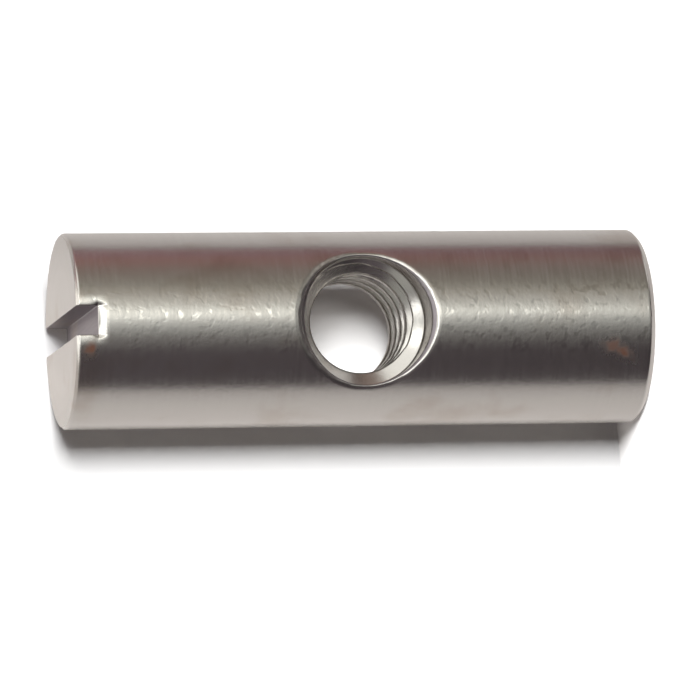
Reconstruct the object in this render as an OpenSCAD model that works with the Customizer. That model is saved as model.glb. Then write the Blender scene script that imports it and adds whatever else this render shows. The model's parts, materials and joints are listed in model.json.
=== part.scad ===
// Cross dowel barrel nut, standing on its plain end.
// The barrel's axis is +Z with the plain end face at z = 0 and the slotted end on top.
// The tapped cross hole runs along Y, and the screwdriver slot is parallel to it.

/* [Barrel] */
// Outside diameter of the barrel
barrel_d = 10; // [9:0.5:16]
// Length of the barrel from end to end
barrel_l = 30; // [24:1:60]
// Chamfer round the plain end, measured along the axis and across it
plain_chamfer = 0.3; // [0.05:0.05:0.8]
// Chamfer round the slotted end, measured the same way
slotted_chamfer = 0.15; // [0.05:0.05:0.4]

/* [Cross hole] */
// Height of the hole's axis above the plain end
hole_height = 15; // [8:0.5:18]
// Minor diameter of the tapped stretch, for a 1/4-20 thread
thread_minor_d = 5.1; // [4:0.1:5.5]
// Length of the tapped stretch, centred on the barrel's axis
thread_l = 5; // [3:0.25:5.5]
// Diameter of the drilled mouth at each side of the barrel
mouth_d = 6.6; // [6:0.1:7]
// Point angle of the drill, which leaves a conical floor in each mouth
drill_point_angle = 118; // [100:1:140]
// Depth of the deburred edge below the crown of the barrel
rim_bevel_depth = 0.35; // [0.1:0.05:0.6]
// Angle of the deburred edge to the hole's axis
rim_bevel_angle = 45; // [30:5:60]

/* [Screwdriver slot] */
// Width of the slot
slot_w = 1.5; // [0.8:0.1:3]
// Depth of the slot below the end face
slot_depth = 1.1; // [0.5:0.1:3]

/* [Hidden] */
$fn = 96;
plated_steel = [0.72, 0.71, 0.68];
barrel_r = barrel_d / 2;
thread_minor_r = thread_minor_d / 2;
mouth_r = mouth_d / 2;
// How far a cutting shape runs past the surface that it opens
cut_past = 1;
// Axial positions along one half of the cross hole, from the barrel's axis outwards
thread_end = thread_l / 2;
mouth_floor = thread_end + (mouth_r - thread_minor_r) / tan(drill_point_angle / 2);
bevel_start = barrel_r - rim_bevel_depth;
hole_reach = barrel_r + cut_past;
bevel_r = mouth_r + (hole_reach - bevel_start) * tan(rim_bevel_angle);

// The turned blank: a plain bar with a chamfer at both ends
module blank() {
    rotate_extrude()
        polygon([
            [0, 0],
            [barrel_r - plain_chamfer, 0],
            [barrel_r, plain_chamfer],
            [barrel_r, barrel_l - slotted_chamfer],
            [barrel_r - slotted_chamfer, barrel_l],
            [0, barrel_l]
        ]);
}

// The tapping bore, long enough to reach both mouths
module tapping_bore() {
    cylinder(h = 2 * thread_end, r = thread_minor_r, center = true);
}

// One drilled mouth: conical floor, straight wall and deburred edge
module mouth() {
    rotate_extrude()
        polygon([
            [0, 0],
            [thread_minor_r, 0],
            [thread_minor_r, thread_end],
            [mouth_r, mouth_floor],
            [mouth_r, bevel_start],
            [bevel_r, hole_reach],
            [0, hole_reach]
        ]);
}

// The whole stepped hole across the barrel
module cross_hole() {
    translate([0, 0, hole_height])
        rotate([90, 0, 0]) {
            tapping_bore();
            for (side = [0, 180])
                rotate([side, 0, 0])
                    mouth();
        }
}

// The straight slot across the top end
module screwdriver_slot() {
    slot_l = barrel_d + 2 * cut_past;
    translate([-slot_w / 2, -slot_l / 2, barrel_l - slot_depth])
        cube([slot_w, slot_l, slot_depth + cut_past]);
}

module barrel_nut() {
    color(plated_steel)
        difference() {
            blank();
            cross_hole();
            screwdriver_slot();
        }
}

barrel_nut();
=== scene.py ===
"""The finished barrel nut: cross-drilled, tapped, slotted and plated, seen as if lying on a white table."""
import json
import math

import bmesh
import bpy
from mathutils import Matrix, Vector, noise


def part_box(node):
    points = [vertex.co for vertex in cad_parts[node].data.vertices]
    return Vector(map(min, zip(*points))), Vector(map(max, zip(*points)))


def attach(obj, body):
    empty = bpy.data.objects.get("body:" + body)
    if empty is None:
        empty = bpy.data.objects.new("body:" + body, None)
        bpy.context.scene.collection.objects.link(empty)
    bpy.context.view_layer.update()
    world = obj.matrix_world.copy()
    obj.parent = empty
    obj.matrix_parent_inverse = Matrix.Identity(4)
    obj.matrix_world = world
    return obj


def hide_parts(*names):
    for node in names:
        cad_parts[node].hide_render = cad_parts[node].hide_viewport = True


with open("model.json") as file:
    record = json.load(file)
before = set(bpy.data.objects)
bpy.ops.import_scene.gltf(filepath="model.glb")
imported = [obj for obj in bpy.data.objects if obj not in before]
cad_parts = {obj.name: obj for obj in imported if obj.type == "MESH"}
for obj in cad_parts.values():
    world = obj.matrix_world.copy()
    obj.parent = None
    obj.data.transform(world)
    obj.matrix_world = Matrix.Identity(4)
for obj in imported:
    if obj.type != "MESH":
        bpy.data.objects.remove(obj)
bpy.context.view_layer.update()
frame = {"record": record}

MM = 0.001
TAU = 2 * math.pi

# Sizes that the frame gives, in millimetres
low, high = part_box("barrel_nut")
BARREL_R = (high[0] - low[0]) / 2 / MM
BARREL_L = (high[2] - low[2]) / MM
thread_mount = next(m for m in frame["record"]["mounts"] if m["name"] == "thread")
HOLE_Z = thread_mount["pos_m"][2] / MM
MINOR_R = thread_mount["dims"]["r_mm"]
THREAD_L = thread_mount["dims"]["length_mm"]

# Sizes that repeat the solid's, in millimetres
PLAIN_CHAMFER = 0.3
SLOTTED_CHAMFER = 0.15
MOUTH_R = 3.3
DRILL_HALF_ANGLE = math.radians(118) / 2
SLOT_W = 1.5
SLOT_DEPTH = 1.1
THREAD_END = THREAD_L / 2
MOUTH_FLOOR = THREAD_END + (MOUTH_R - MINOR_R) / math.tan(DRILL_HALF_ANGLE)
SLOT_FLOOR = BARREL_L - SLOT_DEPTH
CHAMFER_Z = BARREL_L - SLOTTED_CHAMFER

# The thread: 1/4-20, right-handed
PITCH = 1.27
MAJOR_R = 3.175
FLANK_ANGLE = math.radians(30)
CREST_HALF = 0.19
THREAD_BLEND = 0.05

# Edges rolled over into the slot: how far from the edge they start, and how deep they fall
SIDE_LIP_W = 0.55
SIDE_LIP_DEPTH = 0.085
FLOOR_LIP_W = 0.52
FLOOR_LIP_DEPTH = 0.185
# How steeply those lips fall, and how far the floor's lip fades up the sides and past the corners
SLOT_LIP_CURVE = 1.3
SLOT_LIP_BLEND = 0.18
# The hole's worn rim and the lip rolled round it, which is wider on the slot's side
RIM_BREAK = 0.05
RIM_WEAR = 0.19
RIM_LIP_W = 0.2
SLOT_SIDE_LIP_W = 0.15
RIM_LIP_SLOPE = 0.38
# How uneven the lips are: coarse and fine noise per millimetre, and the share of each
COARSE_NOISE, FINE_NOISE = 1.9, 4.7
RIM_UNEVEN = (0.4, 0.25)
SLOT_UNEVEN = (0.3, 0.05)
# The corner between a mouth's wall and its floor; the floor's cone starts inside its curve
FLOOR_FILLET = 0.08
FLOOR_TOP_R = MOUTH_R - FLOOR_FILLET * math.sin(DRILL_HALF_ANGLE)
FLOOR_TOP = THREAD_END + (FLOOR_TOP_R - MINOR_R) / math.tan(DRILL_HALF_ANGLE)

# Fine steps beside edges, in millimetres, and the length that they need, in multiples of the last one
EDGE_STEPS = (0, 0.025, 0.06, 0.11, 0.18, 0.28, 0.4)
EDGE_ROOM = 2.6
# Steps as shares of a length
BEVEL_STEPS = (0.25, 0.5, 0.75, 1)
WINDOW_STEPS = (0, 0.4)
MIDDLE_STEPS = (0, 0.12, 0.3, 0.55, 0.8, 1)
PLAIN_CHAMFER_STEPS = (0, 0.08, 0.2, 0.5, 0.8, 0.92, 1)
SLOTTED_CHAMFER_STEPS = (0, 0.15, 0.4, 0.6, 0.85, 1)
FACE_STEPS = (0, 0.006, 0.015, 0.03, 0.06, 0.15, 0.3, 0.5, 0.7, 0.85, 0.94, 0.97, 0.985, 0.994, 1)
SLOT_STEPS = (0.5, 0.48, 0.45, 0.3, 0, -0.3, -0.45, -0.48, -0.5)
# Counts of even steps
CORNER_COUNT = 6
WALL_COUNT = 4
LOWER_COUNT = 5
UPPER_COUNT = 6
PLAIN_FACE_COUNT = 10
# Extra rows this far below the slot's floor, for its lip
LIP_ROWS = (0.49, 0.58, 0.68, 0.8, 1.0)
# Columns beside the slot and round the whole barrel
SIDE_COLUMNS = 88
SIDE_COUNT = SIDE_COLUMNS + 2 - 2 * len(EDGE_STEPS)
AROUND = 2 * (SIDE_COLUMNS + len(SLOT_STEPS) - 1)
# The hole's round window in the barrel's middle, which is unrolled as a rectangle
WINDOW_R = 4.2
WINDOW_HALF_H = 5.4
WINDOW_SIDE = 32
HOLE_AROUND = AROUND + 2 * WINDOW_SIDE
# Rows along the hole: outside the rim, to the bevel's end, between the mouths, and of those on a floor
OUTSIDE_ROWS = len(WINDOW_STEPS) + len(EDGE_STEPS)
BEVEL_END = OUTSIDE_ROWS + len(BEVEL_STEPS)
THREAD_ROWS = 118
FLOOR_ROWS = round(THREAD_ROWS / 2 * (1 - THREAD_END / FLOOR_TOP))

# Edges broken by tumbling: which are sharp, how many points round them move, how far and how often
SHARP_ANGLE = math.radians(20)
EDGE_REACH = 2
EDGE_SHARE = 0.5
EDGE_PASSES = 5
# Points this near, in millimetres, are one, and edges this short are none
WELD = 1e-4
NO_EDGE = 1e-5

# The lay of the tool marks, with one material for each; the deburred rims take the sawn slot's material,
# whose dark colour is painted shade
TURNED, FACED, DRILLED, TAPPED, SAWN_PAINTED_SHADE = range(5)


def even(value):
    """The same value for all three channels or axes."""
    return value, value, value


def clamp(value):
    return min(max(value, 0), 1)


def lerp(a, b, f):
    return tuple(p + (q - p) * f for p, q in zip(a, b))


def direction(azimuth, elevation):
    """A unit vector; azimuth 0 is the front of the hole."""
    return Vector((math.sin(azimuth) * math.cos(elevation),
                   -math.cos(azimuth) * math.cos(elevation),
                   math.sin(elevation)))


def spread(length, count):
    """Distances from 0 to length: small steps near both ends and even ones between."""
    shrink = min(1, length / (EDGE_ROOM * EDGE_STEPS[-1]))
    steps = [s * shrink for s in EDGE_STEPS]
    first = steps[-1]
    between = [first + (length - 2 * first) * i / count for i in range(1, count)]
    return [*steps, *between, *(length - s for s in reversed(steps))]


class Skin:
    """Collects rows of points in millimetres and the faces between them."""

    def __init__(self):
        self.bm = bmesh.new()

    def row(self, points):
        return [self.bm.verts.new(p) for p in points]

    def bridge(self, first, second, lay, closed):
        count = len(first)
        for i in range(count if closed else count - 1):
            j = (i + 1) % count
            face = self.bm.faces.new((first[i], first[j], second[j], second[i]))
            face.material_index = lay
            face.smooth = True

    def loft(self, rows, lay, closed=True):
        made = [self.row(points) for points in rows]
        for first, second in zip(made, made[1:]):
            self.bridge(first, second, lay, closed)


def barrel_y(radius, phi):
    """How far the barrel's surface is from the plane of its axis, at a radius round the hole."""
    return math.sqrt(BARREL_R ** 2 - (radius * math.cos(phi)) ** 2)


def rim_radius(phi):
    """The deburred edge, worn round: wide along the barrel and a small break across it."""
    return MOUTH_R + RIM_BREAK + (RIM_WEAR - RIM_BREAK) * math.sin(phi) ** 2


def lip(distance, width, depth):
    """How far a rolled-over edge has fallen, at a distance from it."""
    return depth * max(1 - distance / width, 0) ** 2


def rough(point, shares):
    """An uneven share round 1, for edges that are not cut clean."""
    coarse_share, fine_share = shares
    coarse = noise.noise(Vector(point) * COARSE_NOISE)
    fine = noise.noise(Vector(point) * FINE_NOISE)
    return 1 + coarse_share * coarse + fine_share * fine


def soft_max(a, b):
    blend = max(THREAD_BLEND - abs(a - b), 0) / THREAD_BLEND
    return max(a, b) + blend * blend * THREAD_BLEND / 4


def thread_radius(phi, y):
    """The tapped wall: a flat crest, 30 degree flanks and a flat root along a right-hand helix."""
    turn = (y / PITCH + phi / TAU) % 1
    from_crest = abs(turn - 0.5) * PITCH
    depth = (from_crest - CREST_HALF) / math.tan(FLANK_ANGLE)
    return MINOR_R + min(max(depth, 0), MAJOR_R - MINOR_R)


def tapped_radius(phi, y):
    """The wall between the two mouths: drill point cones, cut through by the thread."""
    past = max(abs(y) - THREAD_END, 0)
    drilled = MINOR_R + past * math.tan(DRILL_HALF_ANGLE)
    return soft_max(drilled, thread_radius(phi, y))


def floor_corner(f):
    """A small curve from the mouth's wall to its conical floor, f from 0 to 1."""
    corner = (MOUTH_R, MOUTH_FLOOR)
    start = (MOUTH_R, MOUTH_FLOOR + FLOOR_FILLET)
    end = (FLOOR_TOP_R, FLOOR_TOP)
    return lerp(lerp(start, corner, f), lerp(corner, end, f), f)


def mouth_profile(phi, side):
    """Radius and distance from the axis plane, from the barrel's surface to the mouth's floor."""
    rim_r = rim_radius(phi)
    outside = [(1 - f) * WINDOW_R + f * (rim_r + EDGE_STEPS[-1]) for f in WINDOW_STEPS]
    outside += [rim_r + step for step in reversed(EDGE_STEPS)]
    width = RIM_LIP_W + SLOT_SIDE_LIP_W * max(math.sin(phi), 0)
    at = (math.cos(phi) * MOUTH_R, side, math.sin(phi) * MOUTH_R)
    fall = RIM_LIP_SLOPE * width * rough(at, RIM_UNEVEN)
    points = [(r, barrel_y(r, phi) - lip(r - rim_r, width, fall)) for r in outside]
    bevel_end = (MOUTH_R, points[-1][1] - (rim_r - MOUTH_R))
    points += [lerp(points[-1], bevel_end, f) for f in BEVEL_STEPS]
    wall = spread(bevel_end[1] - MOUTH_FLOOR - FLOOR_FILLET, WALL_COUNT)
    points += [(MOUTH_R, bevel_end[1] - d) for d in wall[1:]]
    points += [floor_corner(k / CORNER_COUNT) for k in range(1, CORNER_COUNT + 1)]
    return points


def hole_angles():
    return [TAU * i / HOLE_AROUND for i in range(HOLE_AROUND)]


def hole_rows():
    """Rows of the whole stepped hole, from the front of the barrel to its back."""
    angles = hole_angles()

    def point(radius, y, phi):
        return radius * math.cos(phi), y, HOLE_Z + radius * math.sin(phi)

    def mouth(side):
        profiles = [mouth_profile(phi, side) for phi in angles]
        return [[point(p[k][0], side * p[k][1], phi) for p, phi in zip(profiles, angles)]
                for k in range(len(profiles[0]))]

    levels = [FLOOR_TOP * (2 * i / THREAD_ROWS - 1) for i in range(1, THREAD_ROWS)]
    thread = [[point(tapped_radius(phi, y), y, phi) for phi in angles] for y in levels]
    return mouth(-1), thread, list(reversed(mouth(1)))


def window_edge(i):
    """Point i on the border of half the barrel's middle, unrolled flat round the hole."""
    half_w = BARREL_R * math.pi / 2
    half_side = WINDOW_SIDE / 2
    top = AROUND / 2
    k = (i + half_side) % HOLE_AROUND
    if k < WINDOW_SIDE:
        return half_w, WINDOW_HALF_H * (k / half_side - 1)
    k -= WINDOW_SIDE
    if k < top:
        return half_w * (1 - 2 * k / top), WINDOW_HALF_H
    k -= top
    if k < WINDOW_SIDE:
        return -half_w, WINDOW_HALF_H * (1 - k / half_side)
    k -= WINDOW_SIDE
    return half_w * (2 * k / top - 1), -WINDOW_HALF_H


def middle_rows(side):
    """Half of the barrel's middle, from the hole's window out to a full half turn."""
    rows = []
    for f in MIDDLE_STEPS:
        row = []
        for i, phi in enumerate(hole_angles()):
            start = (BARREL_R * math.asin(WINDOW_R * math.cos(phi) / BARREL_R), WINDOW_R * math.sin(phi))
            s, z = lerp(start, window_edge(i), f)
            turn = s / BARREL_R
            row.append((BARREL_R * math.sin(turn), side * BARREL_R * math.cos(turn), HOLE_Z + z))
        rows.append(row)
    return rows


def ring(radius, z, angles):
    return [(radius * math.cos(a), radius * math.sin(a), z) for a in angles]


def even_angles():
    """Columns round the barrel, starting beside the front of the slot."""
    start = -TAU * SIDE_COLUMNS / 2 / AROUND
    return [start + TAU * k / AROUND for k in range(AROUND)]


def side_angles(radius):
    """Columns on the +X side, from the front edge of the slot to its back edge."""
    clear = math.asin(SLOT_W / 2 / radius)
    arc = radius * (math.pi - 2 * clear)
    return [d / radius + clear - math.pi / 2 for d in spread(arc, SIDE_COUNT)]


def slotted_angles():
    """The same columns moved so that four of them lie on the slot's edges."""
    side = side_angles(BARREL_R)
    back = [math.acos(f * SLOT_W / BARREL_R) for f in SLOT_STEPS[1:-1]]
    other = [math.pi - a for a in reversed(side)]
    front = [TAU - a for a in reversed(back)]
    return [*side, *back, *other, *front]


def lower_rows():
    """The plain end: the wall below the hole, the chamfer and the end face."""
    angles = even_angles()
    start = HOLE_Z - WINDOW_HALF_H
    wall = [ring(BARREL_R, start - d, angles) for d in spread(start - PLAIN_CHAMFER, LOWER_COUNT)]
    chamfer = [ring(BARREL_R - PLAIN_CHAMFER * f, PLAIN_CHAMFER * (1 - f), angles)
               for f in PLAIN_CHAMFER_STEPS]
    face_r = BARREL_R - PLAIN_CHAMFER
    face = [ring(face_r - d, 0, angles) for d in spread(face_r, PLAIN_FACE_COUNT)]
    return wall, chamfer, face


def upper_rows():
    """The wall from the hole up to the slot's floor, where its columns meet the slot's edges."""
    start = HOLE_Z + WINDOW_HALF_H
    length = SLOT_FLOOR - start
    steps = sorted([*spread(length, UPPER_COUNT), *(length - d for d in LIP_ROWS)])
    rows = []
    for d in steps:
        angles = lerp(even_angles(), slotted_angles(), d / steps[-1])
        rows.append(ring(BARREL_R, start + d, angles))
    return rows


def slot_line(x, z, half_l):
    """A line of points along the slot, from front to back."""
    return [(x, d - half_l, z) for d in spread(2 * half_l, SIDE_COUNT)]


def outer_radius(z):
    """The radius of the slotted end, which falls along its chamfer."""
    return BARREL_R - max(z - CHAMFER_Z, 0)


def chord(x, z):
    """Half the length of a line along the slot."""
    return math.sqrt(outer_radius(z) ** 2 - x * x)


def slotted_end_rows(side):
    """One side of the slotted end: outer wall, chamfer, end face and slot wall."""
    def arc(z):
        radius = outer_radius(z)
        return [(side * x, y, z) for x, y, z in ring(radius, z, side_angles(radius))]

    wall_z = [SLOT_FLOOR + d for d in spread(CHAMFER_Z - SLOT_FLOOR, WALL_COUNT)]
    edge_z = [CHAMFER_Z + SLOTTED_CHAMFER * f for f in SLOTTED_CHAMFER_STEPS]
    wall = [arc(z) for z in wall_z]
    chamfer = [arc(z) for z in edge_z]
    edge_x = side * SLOT_W / 2
    edge = slot_line(edge_x, BARREL_L, chord(edge_x, BARREL_L))
    face = [[lerp(a, b, f) for a, b in zip(chamfer[-1], edge)] for f in FACE_STEPS]
    down = reversed([*wall_z, *edge_z[1:]])
    slot_wall = [slot_line(edge_x, z, chord(edge_x, z)) for z in down]
    return wall, chamfer, face, slot_wall


def slot_floor_rows():
    return [slot_line(f * SLOT_W, SLOT_FLOOR, chord(f * SLOT_W, SLOT_FLOOR)) for f in SLOT_STEPS]


def loft_hole(skin):
    """The stepped hole, and the barrel's middle round both of its mouths."""
    front, thread, back = hole_rows()
    skin.loft(front[:OUTSIDE_ROWS], TURNED)
    # The rim's bevels at both mouths take the sawn material, whose darker colour is painted shade
    skin.loft(front[OUTSIDE_ROWS - 1:BEVEL_END], SAWN_PAINTED_SHADE)
    skin.loft([*front[BEVEL_END - 1:], *thread[:FLOOR_ROWS]], DRILLED)
    skin.loft(thread[FLOOR_ROWS - 1:1 - FLOOR_ROWS], TAPPED)
    skin.loft([*thread[-FLOOR_ROWS:], *back[:1 - BEVEL_END]], DRILLED)
    skin.loft(back[-BEVEL_END:1 - OUTSIDE_ROWS], SAWN_PAINTED_SHADE)
    skin.loft(back[-OUTSIDE_ROWS:], TURNED)
    for side in (-1, 1):
        skin.loft(middle_rows(side), TURNED)


def loft_plain_end(skin):
    wall, chamfer, face = lower_rows()
    skin.loft(wall, TURNED)
    skin.loft(chamfer, TURNED)
    skin.loft(face, FACED)


def loft_slotted_end(skin):
    skin.loft(upper_rows(), TURNED)
    for side in (1, -1):
        wall, chamfer, face, slot_wall = slotted_end_rows(side)
        skin.loft(wall, TURNED, closed=False)
        skin.loft(chamfer, TURNED, closed=False)
        skin.loft(face, FACED, closed=False)
        # The slot's walls, and its floor below, take the sawn material, whose darker colour is painted
        # shade
        skin.loft(slot_wall, SAWN_PAINTED_SHADE, closed=False)
    skin.loft(slot_floor_rows(), SAWN_PAINTED_SHADE, closed=False)


def roll_slot_lips(bm):
    """Rolls the barrel's surface over into both mouths of the slot, as sawing and tumbling leave it."""
    for v in bm.verts:
        x, y, z = v.co
        if z < SLOT_FLOOR - FLOOR_LIP_W or abs(y) < BARREL_R / 2:
            continue
        around = math.hypot(x, y)
        from_slot = abs(x) - SLOT_W / 2
        beside = clamp(1 - from_slot / SIDE_LIP_W)
        below = clamp(1 - (SLOT_FLOOR - z) / FLOOR_LIP_W)
        within = clamp(1 - (BARREL_R - around) / FLOOR_LIP_W)
        at_floor = clamp(1 - (z - SLOT_FLOOR) / SLOT_LIP_BLEND)
        inside = clamp(1 - from_slot / SLOT_LIP_BLEND)
        depth = SIDE_LIP_DEPTH + (FLOOR_LIP_DEPTH - SIDE_LIP_DEPTH) * at_floor * inside
        fall = depth * (beside * below * within) ** SLOT_LIP_CURVE * rough(v.co, SLOT_UNEVEN)
        v.co.x -= x / around * fall
        v.co.y -= y / around * fall


def round_edges(bm):
    """Breaks the sharp edges a little, as tumbling and plating do."""
    def in_thread(vert):
        around = math.hypot(vert.co.x, vert.co.z - HOLE_Z)
        return around < MOUTH_R - EDGE_STEPS[1] and abs(vert.co.y) < MOUTH_FLOOR

    near = set()
    for edge in bm.edges:
        if len(edge.link_faces) == 2 and edge.calc_face_angle() > SHARP_ANGLE:
            near.update(v for v in edge.verts if not in_thread(v))
    for _ in range(EDGE_REACH):
        near.update([e.other_vert(v) for v in near for e in v.link_edges if not in_thread(v)])
    for _ in range(EDGE_PASSES):
        moved = {}
        for v in near:
            around = [e.other_vert(v).co for e in v.link_edges]
            middle = sum(around, Vector()) / len(around)
            moved[v] = v.co.lerp(middle, EDGE_SHARE)
        for v, co in moved.items():
            v.co = co


def true_normal(point):
    """Straight out from the axis on the plain barrel; nothing set elsewhere."""
    flat = Vector((point.x, point.y, 0))
    on_barrel = abs(flat.length - BARREL_R) < WELD
    return flat.normalized() if on_barrel else Vector((0, 0, 0))


def barrel_mesh():
    skin = Skin()
    loft_hole(skin)
    loft_plain_end(skin)
    loft_slotted_end(skin)
    bm = skin.bm
    bmesh.ops.remove_doubles(bm, verts=bm.verts, dist=WELD)
    bmesh.ops.dissolve_degenerate(bm, edges=bm.edges, dist=NO_EDGE)
    bmesh.ops.recalc_face_normals(bm, faces=bm.faces)
    roll_slot_lips(bm)
    round_edges(bm)
    bmesh.ops.scale(bm, verts=bm.verts, vec=even(MM))
    mesh = bpy.data.meshes.new("barrel_nut_finished")
    bm.to_mesh(mesh)
    bm.free()
    mesh.normals_split_custom_set_from_vertices([true_normal(v.co / MM) for v in mesh.vertices])
    return mesh


# Vector operations that give one number
TO_NUMBER = ("DISTANCE", "DOT_PRODUCT", "LENGTH")


class Graph:
    """The nodes of a material or of the world, with short ways to add to them."""

    def __init__(self, tree):
        self.nodes = tree.nodes
        self.links = tree.links

    def feed(self, socket, value):
        """Sets a socket to a number or a triple, or links another node's output to it."""
        if isinstance(value, bpy.types.NodeSocket):
            self.links.new(value, socket)
        elif socket.type == "RGBA":
            socket.default_value = (*value, 1)
        else:
            socket.default_value = value

    def node(self, kind, inputs, **settings):
        made = self.nodes.new(kind)
        for name, value in settings.items():
            setattr(made, name, value)
        for name, value in inputs.items():
            self.feed(made.inputs[name], value)
        return made

    def source(self, kind, output):
        return self.nodes.new(kind).outputs[output]

    def math(self, operation, first, second=0):
        return self.node("ShaderNodeMath", {0: first, 1: second}, operation=operation).outputs[0]

    def vector(self, operation, first, second=even(0)):
        made = self.node("ShaderNodeVectorMath", {0: first, 1: second}, operation=operation)
        return made.outputs["Value" if operation in TO_NUMBER else "Vector"]

    def map_range(self, value, start, stop, low=0, high=1):
        inputs = {"Value": value, "From Min": start, "From Max": stop, "To Min": low, "To Max": high}
        return self.node("ShaderNodeMapRange", inputs, interpolation_type="SMOOTHSTEP").outputs["Result"]

    def mix_value(self, factor, first, second):
        inputs = {"Factor": factor, "A": first, "B": second}
        return self.node("ShaderNodeMix", inputs).outputs["Result"]

    def mix_colour(self, factor, first, second):
        inputs = {"Factor": factor, "A": first, "B": second}
        return self.node("ShaderNodeMix", inputs, data_type="RGBA").outputs["Result"]

    def mix_shader(self, factor, first, second):
        return self.node("ShaderNodeMixShader", {0: factor, 1: first, 2: second}).outputs[0]

    def noise(self, place, scale, detail):
        """Noise with its scale per millimetre along each axis."""
        per_metre = [s / MM for s in scale]
        inputs = {"Vector": self.vector("MULTIPLY", place, per_metre), "Scale": 1, "Detail": detail}
        return self.node("ShaderNodeTexNoise", inputs).outputs["Fac"]

    def ramp(self, value, stops):
        """A colour ramp through (position, colour) stops, driven by a value from 0 to 1."""
        made = self.node("ShaderNodeValToRGB", {"Fac": value})
        elements = made.color_ramp.elements
        elements.remove(elements[-1])
        for k, (position, colour) in enumerate(stops):
            stop = elements[0] if k == 0 else elements.new(position)
            stop.position = position
            stop.color = (*colour, 1)
        return made.outputs["Color"]


# Zinc plate over steel, a darker plate in the thread, and painted shade for the slot and the hole's rim
# bevels
PLATE = (0.70, 0.68, 0.655)
THREAD_DARKER_PLATE = (0.62, 0.60, 0.575)
SLOT_AND_RIM_PAINTED_SHADE = (0.36, 0.33, 0.355)
# Tool marks: scale per millimetre across them and along them, height, and how the roughness varies
ACROSS, ALONG = 9.0, 0.35
MARK_DETAIL = 2
GROOVE_HEIGHT = 0.0004 * MM
MARK_FROM, MARK_FULL = 0.3, 0.75
SMOOTHEST, ROUGHEST = 0.94, 1.14
LAYS = {
    TURNED: ("turned_steel", (ALONG, ALONG, ACROSS), 0.24, PLATE),
    FACED: ("faced_steel", even(ACROSS), 0.34, PLATE),
    DRILLED: ("drilled_steel", (ALONG, ACROSS, ALONG), 0.22, PLATE),
    TAPPED: ("tapped_steel", (ALONG, ACROSS, ALONG), 0.26, THREAD_DARKER_PLATE),
    # Dark colour painted as shade in the slot and on the hole's rim bevels
    SAWN_PAINTED_SHADE: ("sawn_steel", (ACROSS, ALONG, ACROSS), 0.42, SLOT_AND_RIM_PAINTED_SHADE),
}
# The grain of the plating
GRAIN = even(2.7)
GRAIN_DETAIL = 3
GRAIN_HEIGHT = 0.006 * MM
# Faint tarnish in blotches
TARNISH = (0.52, 0.45, 0.39)
BLOTCHES = even(0.32)
BLOTCH_DETAIL = 4
TARNISH_FROM, TARNISH_FULL = 0.5, 0.75
TARNISH_MOST = 0.45
# Burnished specks, and the worn side that has them: its azimuth, and where it is full and where it ends
SPECKS = even(2.6)
SPECK_DETAIL = 1
SPECK_FROM, SPECK_FULL = 0.52, 0.68
SPECK_DEPTH = 0.0016 * MM
BURNISHED_ROUGHNESS = 0.12
WORN_AZIMUTH = 0
WORN_FULL, WORN_ENDS = math.radians(13), math.radians(25)
# Rust, with the share at which it hides the plate and the share at which it starts to crust
RUST = (0.30, 0.13, 0.08)
RUST_METALLIC = 0.45
RUST_ROUGHNESS = 0.55
RUST_HIDES = 0.7
CRUST_FROM = 0.15
# Rusty spots on the barrel: azimuth in degrees, height and radius in millimetres, strength
RUST_SPOTS = (
    (-22.5, 1.7, 0.6, 0.6),
    (-18, 2.4, 0.55, 0.5),
    (-17, 29.2, 0.5, 0.6),
)
# Their edges: noise per millimetre, and in radii how far it moves them and where a spot is full and ends
RUST_EDGES = even(1.3)
RUST_DETAIL = 2
RUST_UNEVEN = 2.2
RUST_FULL, RUST_ENDS = 1.2, 2.4


def mark_lines(graph, place, lay):
    """Where tool marks lie: in rings on a faced end, and along the axes elsewhere."""
    if lay != FACED:
        return place
    return graph.node("ShaderNodeCombineXYZ", {"X": graph.vector("LENGTH", place)}).outputs[0]


def specks(graph, place):
    """Burnished specks on the side of the barrel that rubbed against other parts."""
    speck = graph.map_range(graph.noise(place, SPECKS, SPECK_DETAIL), SPECK_FROM, SPECK_FULL)
    facing = graph.vector("DOT_PRODUCT", place, direction(WORN_AZIMUTH, 0) / (BARREL_R * MM))
    worn = graph.map_range(facing, math.cos(WORN_ENDS), math.cos(WORN_FULL))
    return graph.math("MULTIPLY", speck, worn)


def rust_share(graph, place):
    """How rusty each point is, from spots with uneven edges."""
    uneven = graph.noise(place, RUST_EDGES, RUST_DETAIL)
    total = 0
    for azimuth, z, radius_mm, strength in RUST_SPOTS:
        radius = radius_mm * MM
        middle = (direction(math.radians(azimuth), 0) * BARREL_R + Vector((0, 0, z))) * MM
        away = graph.vector("DISTANCE", place, middle)
        reach = graph.math("ADD", away, graph.math("MULTIPLY", uneven, RUST_UNEVEN * radius))
        share = graph.map_range(reach, RUST_ENDS * radius, RUST_FULL * radius, 0, strength)
        total = graph.math("MAXIMUM", total, share)
    return total


def rusted(graph, shader, place, colour, dullness):
    """Rust turns the colour first, and then takes the metal's shine."""
    rust = rust_share(graph, place)
    hidden = graph.map_range(rust, 0, RUST_HIDES)
    crusted = graph.map_range(rust, CRUST_FROM, 1)
    graph.feed(shader.inputs["Metallic"], graph.mix_value(crusted, 1, RUST_METALLIC))
    return graph.mix_colour(hidden, colour, RUST), graph.mix_value(rust, dullness, RUST_ROUGHNESS)


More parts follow.
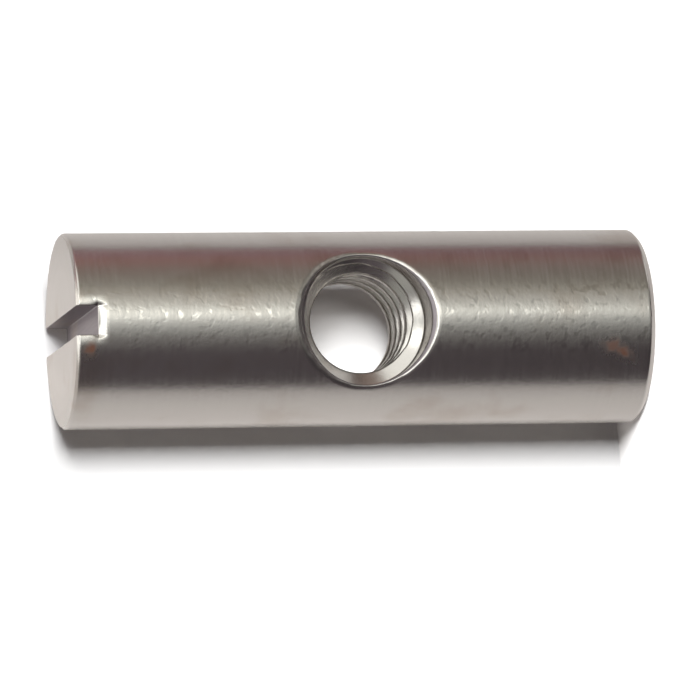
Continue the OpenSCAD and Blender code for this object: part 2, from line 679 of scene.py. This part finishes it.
def plated_steel(lay):
    """Metal with tool marks, grain and faint tarnish; the turned barrel also has specks and rust."""
    name, stretch, roughness, plate = LAYS[lay]
    material = bpy.data.materials.new(name)
    material.use_nodes = True
    graph = Graph(material.node_tree)
    shader = graph.nodes["Principled BSDF"]
    shader.inputs["Metallic"].default_value = 1
    place = graph.source("ShaderNodeTexCoord", "Object")
    marks = graph.noise(mark_lines(graph, place, lay), stretch, MARK_DETAIL)
    grain = graph.noise(place, GRAIN, GRAIN_DETAIL)
    blotch = graph.noise(place, BLOTCHES, BLOTCH_DETAIL)
    tarnish = graph.map_range(blotch, TARNISH_FROM, TARNISH_FULL, 0, TARNISH_MOST)
    colour = graph.mix_colour(tarnish, plate, TARNISH)
    dullness = graph.map_range(marks, MARK_FROM, MARK_FULL, SMOOTHEST * roughness, ROUGHEST * roughness)
    grooves = graph.math("MULTIPLY", marks, GROOVE_HEIGHT)
    height = graph.math("ADD", grooves, graph.math("MULTIPLY", grain, GRAIN_HEIGHT))
    if lay == TURNED:
        speck = specks(graph, place)
        dullness = graph.mix_value(speck, dullness, BURNISHED_ROUGHNESS)
        height = graph.math("SUBTRACT", height, graph.math("MULTIPLY", speck, SPECK_DEPTH))
        colour, dullness = rusted(graph, shader, place, colour, dullness)
    bump = graph.node("ShaderNodeBump", {"Distance": 1, "Height": height})
    graph.feed(shader.inputs["Base Color"], colour)
    graph.feed(shader.inputs["Roughness"], dullness)
    graph.feed(shader.inputs["Normal"], bump.outputs["Normal"])
    return material


def make_barrel():
    barrel = bpy.data.objects.new("barrel_nut_finished", barrel_mesh())
    bpy.context.collection.objects.link(barrel)
    for lay in sorted(LAYS):
        barrel.data.materials.append(plated_steel(lay))
    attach(barrel, "root")
    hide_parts("barrel_nut")


# The photograph's view: the barrel lies across the picture, slotted end to the left
PHOTO_PX = 700
FOCAL_PX = 5952
VIEW_AZIMUTH = math.radians(-6.7)
VIEW_ELEVATION = math.radians(12.19)
VIEW_ROLL = math.radians(-0.62)
VIEW_DISTANCE = 305.7 * MM
CENTRE_RIGHT = -0.03 * MM
CENTRE_UP = 1.08 * MM
SENSOR = 36
BARREL_MIDDLE = Vector((0, 0, BARREL_L / 2 * MM))


def make_camera():
    back = direction(VIEW_AZIMUTH, VIEW_ELEVATION)
    level = Vector((math.cos(VIEW_AZIMUTH), math.sin(VIEW_AZIMUTH), 0))
    rise = back.cross(level)
    right = -rise * math.cos(VIEW_ROLL) + level * math.sin(VIEW_ROLL)
    up = back.cross(right)
    place = BARREL_MIDDLE + back * VIEW_DISTANCE - right * CENTRE_RIGHT - up * CENTRE_UP
    data = bpy.data.cameras.new("photo_camera")
    data.sensor_width = SENSOR
    data.lens = SENSOR * FOCAL_PX / PHOTO_PX
    camera = bpy.data.objects.new("photo_camera", data)
    camera.matrix_world = Matrix.Translation(place) @ Matrix((right, up, back)).transposed().to_4x4()
    bpy.context.collection.objects.link(camera)
    bpy.context.scene.camera = camera


# The table stands upright behind the barrel, turned from the camera and a hair clear of the barrel's back
TABLE_TILT = math.radians(21)
TABLE_CLEAR = 1.002
# Half the width of the table and of the floor, in metres
TABLE_HALF = 0.6
FLOOR_HALF = 3
# Painted light falloff: the table's paper is coloured lightest round the barrel and falls off with distance
# in millimetres
TABLE_PAINTED_FALLOFF = ((0, 0.72), (12, 0.64), (30, 0.55), (70, 0.46), (150, 0.38), (300, 0.32))
TABLE_FAR = TABLE_PAINTED_FALLOFF[-1][0]
TABLE_TINT = (1.0, 0.95, 0.915)
FLOOR_PAPER = even(TABLE_PAINTED_FALLOFF[0][1])
# How light the camera sees the paper, and how far from the barrel it turns plain white, in millimetres
PAPER_SEEN = even(1.1)
FADE_FROM, FADE_FULL = 30, 60
# A painted glow on the paper in the barrel's shadow, seen only in reflections: its strength, and the
# distances from the axis up to which it reaches
SHADOW_GLOW = 0.09
GLOW_FULL, GLOW_ENDS = 6.5, 9
# A painted glow on the paper behind the hole stands in for light that the hole's bright walls throw on it,
# up to these distances from the hole's middle
BOUNCE_GLOW = 0.15
BOUNCE_FULL, BOUNCE_ENDS = 5.5, 6.35
# The corners of a square sheet, in halves of its width
SQUARE = ((-1, -1), (1, -1), (1, 1), (-1, 1))


def blank_material(name):
    material = bpy.data.materials.new(name)
    material.use_nodes = True
    material.node_tree.nodes.clear()
    return material, Graph(material.node_tree)


def far_white(graph, paper):
    """The camera has the paper a little overexposed, and plain white away from the barrel."""
    reach = graph.vector("LENGTH", graph.source("ShaderNodeNewGeometry", "Position"))
    fade = graph.map_range(reach, FADE_FROM * MM, FADE_FULL * MM)
    ray = graph.source("ShaderNodeLightPath", "Is Camera Ray")
    seen = graph.mix_colour(ray, paper, PAPER_SEEN)
    diffuse = graph.node("ShaderNodeBsdfDiffuse", {"Color": seen}).outputs["BSDF"]
    white = graph.source("ShaderNodeEmission", "Emission")
    return graph.mix_shader(graph.math("MULTIPLY", fade, ray), diffuse, white)


def table_glow(graph, place, reach):
    """Painted glow for light caught between the paper and the barrel: seen in the metal, and through the
    hole.
    """
    shaded = graph.map_range(reach, GLOW_ENDS * MM, GLOW_FULL * MM, 0, SHADOW_GLOW)
    from_hole = graph.vector("DISTANCE", place, (0, 0, HOLE_Z * MM))
    painted_bounce = graph.map_range(from_hole, BOUNCE_ENDS * MM, BOUNCE_FULL * MM, 0, BOUNCE_GLOW)
    in_metal = graph.math("MULTIPLY", shaded, graph.source("ShaderNodeLightPath", "Is Glossy Ray"))
    through_hole = graph.math("MULTIPLY", painted_bounce, graph.source("ShaderNodeLightPath", "Is Camera Ray"))
    strength = graph.math("ADD", in_metal, through_hole)
    return graph.node("ShaderNodeEmission", {"Color": TABLE_TINT, "Strength": strength}).outputs["Emission"]


def table_white():
    """Matt white paper, seen from its front only."""
    material, graph = blank_material("table_white")
    place = graph.source("ShaderNodeNewGeometry", "Position")
    reach = graph.vector("LENGTH", graph.vector("MULTIPLY", place, (1, 1, 0)))
    share = graph.math("DIVIDE", reach, TABLE_FAR * MM)
    # The paper's painted light falloff, as ramp stops
    stops = [(mm / TABLE_FAR, tuple(level * t for t in TABLE_TINT)) for mm, level in TABLE_PAINTED_FALLOFF]
    paper = far_white(graph, graph.ramp(share, stops))
    glow = table_glow(graph, place, reach)
    front = graph.node("ShaderNodeAddShader", {0: paper, 1: glow}).outputs["Shader"]
    clear = graph.source("ShaderNodeBsdfTransparent", "BSDF")
    behind = graph.source("ShaderNodeNewGeometry", "Backfacing")
    graph.node("ShaderNodeOutputMaterial", {"Surface": graph.mix_shader(behind, front, clear)})
    return material


def floor_white():
    material, graph = blank_material("floor_white")
    graph.node("ShaderNodeOutputMaterial", {"Surface": far_white(graph, FLOOR_PAPER)})
    return material


def square(name, centre, normal, up, half, material):
    """A flat square of the stage."""
    side = up.cross(normal)
    corners = [centre + (side * a + up * b) * half for a, b in SQUARE]
    mesh = bpy.data.meshes.new(name)
    mesh.from_pydata(corners, [], [(0, 1, 2, 3)])
    mesh.materials.append(material)
    piece = bpy.data.objects.new(name, mesh)
    piece.visible_shadow = False
    bpy.context.collection.objects.link(piece)
    return piece


def make_stage():
    up = Vector((0, 0, 1))
    floor = square("floor", Vector((0, 0, 0)), up, Vector((0, 1, 0)), FLOOR_HALF, floor_white())
    floor.visible_glossy = False
    floor.visible_diffuse = False
    table_normal = direction(VIEW_AZIMUTH + TABLE_TILT, 0)
    table_middle = -table_normal * (BARREL_R * MM * TABLE_CLEAR)
    square("table", table_middle, table_normal, up, TABLE_HALF, table_white())
    return floor


# The key lights the table almost squarely; a second lamp over it lights the floor alone
KEY_AZIMUTH = math.radians(16)
KEY_ELEVATION = math.radians(9)
KEY_WATTS = 3.6
FLOOR_LAMP_AZIMUTH = math.radians(18.5)
FLOOR_LAMP_ELEVATION = math.radians(25)
FLOOR_LAMP_WATTS = 7.2
# Both lamps, in metres
LAMP_DISTANCE = 0.6
LAMP_SIZE = 0.2


def lamp(name, azimuth, elevation, watts):
    data = bpy.data.lights.new(name, "AREA")
    data.size = LAMP_SIZE
    data.energy = watts
    made = bpy.data.objects.new(name, data)
    towards = direction(azimuth, elevation)
    made.location = BARREL_MIDDLE + towards * LAMP_DISTANCE
    made.rotation_euler = towards.to_track_quat("Z", "Y").to_euler()
    made.visible_glossy = False
    bpy.context.collection.objects.link(made)
    return made


def make_lamps(floor):
    lamp("key", KEY_AZIMUTH, KEY_ELEVATION, KEY_WATTS)
    floor_alone = bpy.data.collections.new("floor_alone")
    floor_alone.objects.link(floor)
    floor_lamp = lamp("floor_lamp", FLOOR_LAMP_AZIMUTH, FLOOR_LAMP_ELEVATION, FLOOR_LAMP_WATTS)
    floor_lamp.light_linking.receiver_collection = floor_alone


# What the metal reflects, by the angle in degrees from the camera's side round the barrel
SURROUNDINGS = (
    (-180, (0.42, 0.41, 0.40)),
    (-150, (0.62, 0.61, 0.59)),
    (-128, (0.62, 0.61, 0.59)),
    (-104, (0.20, 0.18, 0.18)),
    (-84, (0.095, 0.080, 0.086)),
    (-24, (0.098, 0.083, 0.089)),
    (-8, (0.23, 0.22, 0.21)),
    (3, (0.45, 0.45, 0.43)),
    (12, (0.84, 0.85, 0.80)),
    (15, (1.15, 1.15, 1.07)),
    (18.5, (2.1, 2.1, 1.96)),
    (21.5, (2.1, 2.1, 1.93)),
    (25, (1.15, 1.15, 1.06)),
    (30, (0.88, 0.86, 0.78)),
    (46, (0.46, 0.43, 0.37)),
    (58, (0.28, 0.255, 0.215)),
    (74, (0.235, 0.185, 0.16)),
    (92, (0.32, 0.17, 0.155)),
    (104, (0.29, 0.18, 0.195)),
    (120, (0.34, 0.23, 0.25)),
    (150, (0.36, 0.34, 0.33)),
    (180, (0.42, 0.41, 0.40)),
)
# These bands are dimmer below the first elevation than above the second
BAND_LOW, BAND_HIGH = math.radians(-17), math.radians(-7)
BAND_LOW_LEVEL, BAND_HIGH_LEVEL = 0.52, 1.06
# Round zones over the bands: azimuth and elevation, where each is full and where it ends, in degrees
ZONES = {
    "softbox": (54, 28, 18, 31, (1.15, 1.14, 1.08)),
    "top_light": (12, 42, 17, 25, (2.2, 2.2, 2.12)),
    "ceiling": (0, 90, 18, 38, (1.5, 1.49, 1.42)),
    "dark_below": (0, -72, 20, 36, (0.10, 0.09, 0.09)),
    "ground": (180, -58, 14, 24, (0.85, 0.84, 0.82)),
    "low_side": (76, -42, 10, 26, (0.80, 0.78, 0.75)),
    "dull_end": (20, -26, 6, 17, (0.36, 0.36, 0.335)),
    "grey_side": (-41, 29, 9, 20, (0.40, 0.40, 0.37)),
    "dull_top": (10, 54, 5, 12, (0.50, 0.50, 0.46)),
}
# The room's light on matt surfaces, and the white that the camera sees behind everything
AMBIENT = (0.034, 0.029, 0.030)
BACKDROP = even(1)


def room_bands(graph, towards):
    """Upright bands of light and dark all round the barrel."""
    split = graph.node("ShaderNodeSeparateXYZ", {0: towards}).outputs
    azimuth = graph.math("ARCTAN2", split["X"], graph.math("MULTIPLY", split["Y"], -1))
    from_view = graph.math("SUBTRACT", azimuth, VIEW_AZIMUTH)
    turn = graph.math("ADD", graph.math("DIVIDE", from_view, TAU), 0.5)
    bands = graph.ramp(turn, [(angle / 360 + 0.5, colour) for angle, colour in SURROUNDINGS])
    elevation = graph.math("ARCSINE", split["Z"])
    level = graph.map_range(elevation, BAND_LOW, BAND_HIGH, BAND_LOW_LEVEL, BAND_HIGH_LEVEL)
    return graph.vector("MULTIPLY", bands, level)


def with_zone(graph, towards, room, zone):
    azimuth, elevation, full, ends, colour = zone
    middle = direction(math.radians(azimuth), math.radians(elevation))
    near = graph.vector("DOT_PRODUCT", towards, middle)
    share = graph.map_range(near, math.cos(math.radians(ends)), math.cos(math.radians(full)))
    return graph.mix_colour(share, room, colour)


def make_world():
    world = bpy.data.worlds.new("studio")
    bpy.context.scene.world = world
    world.use_nodes = True
    world.node_tree.nodes.clear()
    graph = Graph(world.node_tree)
    towards = graph.source("ShaderNodeTexCoord", "Generated")
    room = room_bands(graph, towards)
    for zone in ZONES.values():
        room = with_zone(graph, towards, room, zone)
    lit = graph.mix_colour(graph.source("ShaderNodeLightPath", "Is Glossy Ray"), AMBIENT, room)
    shown = graph.mix_colour(graph.source("ShaderNodeLightPath", "Is Camera Ray"), lit, BACKDROP)
    sky = graph.node("ShaderNodeBackground", {"Color": shown}).outputs["Background"]
    graph.node("ShaderNodeOutputWorld", {"Surface": sky})


make_camera()
make_barrel()
make_lamps(make_stage())
make_world()
bpy.context.scene.view_settings.view_transform = "Standard"
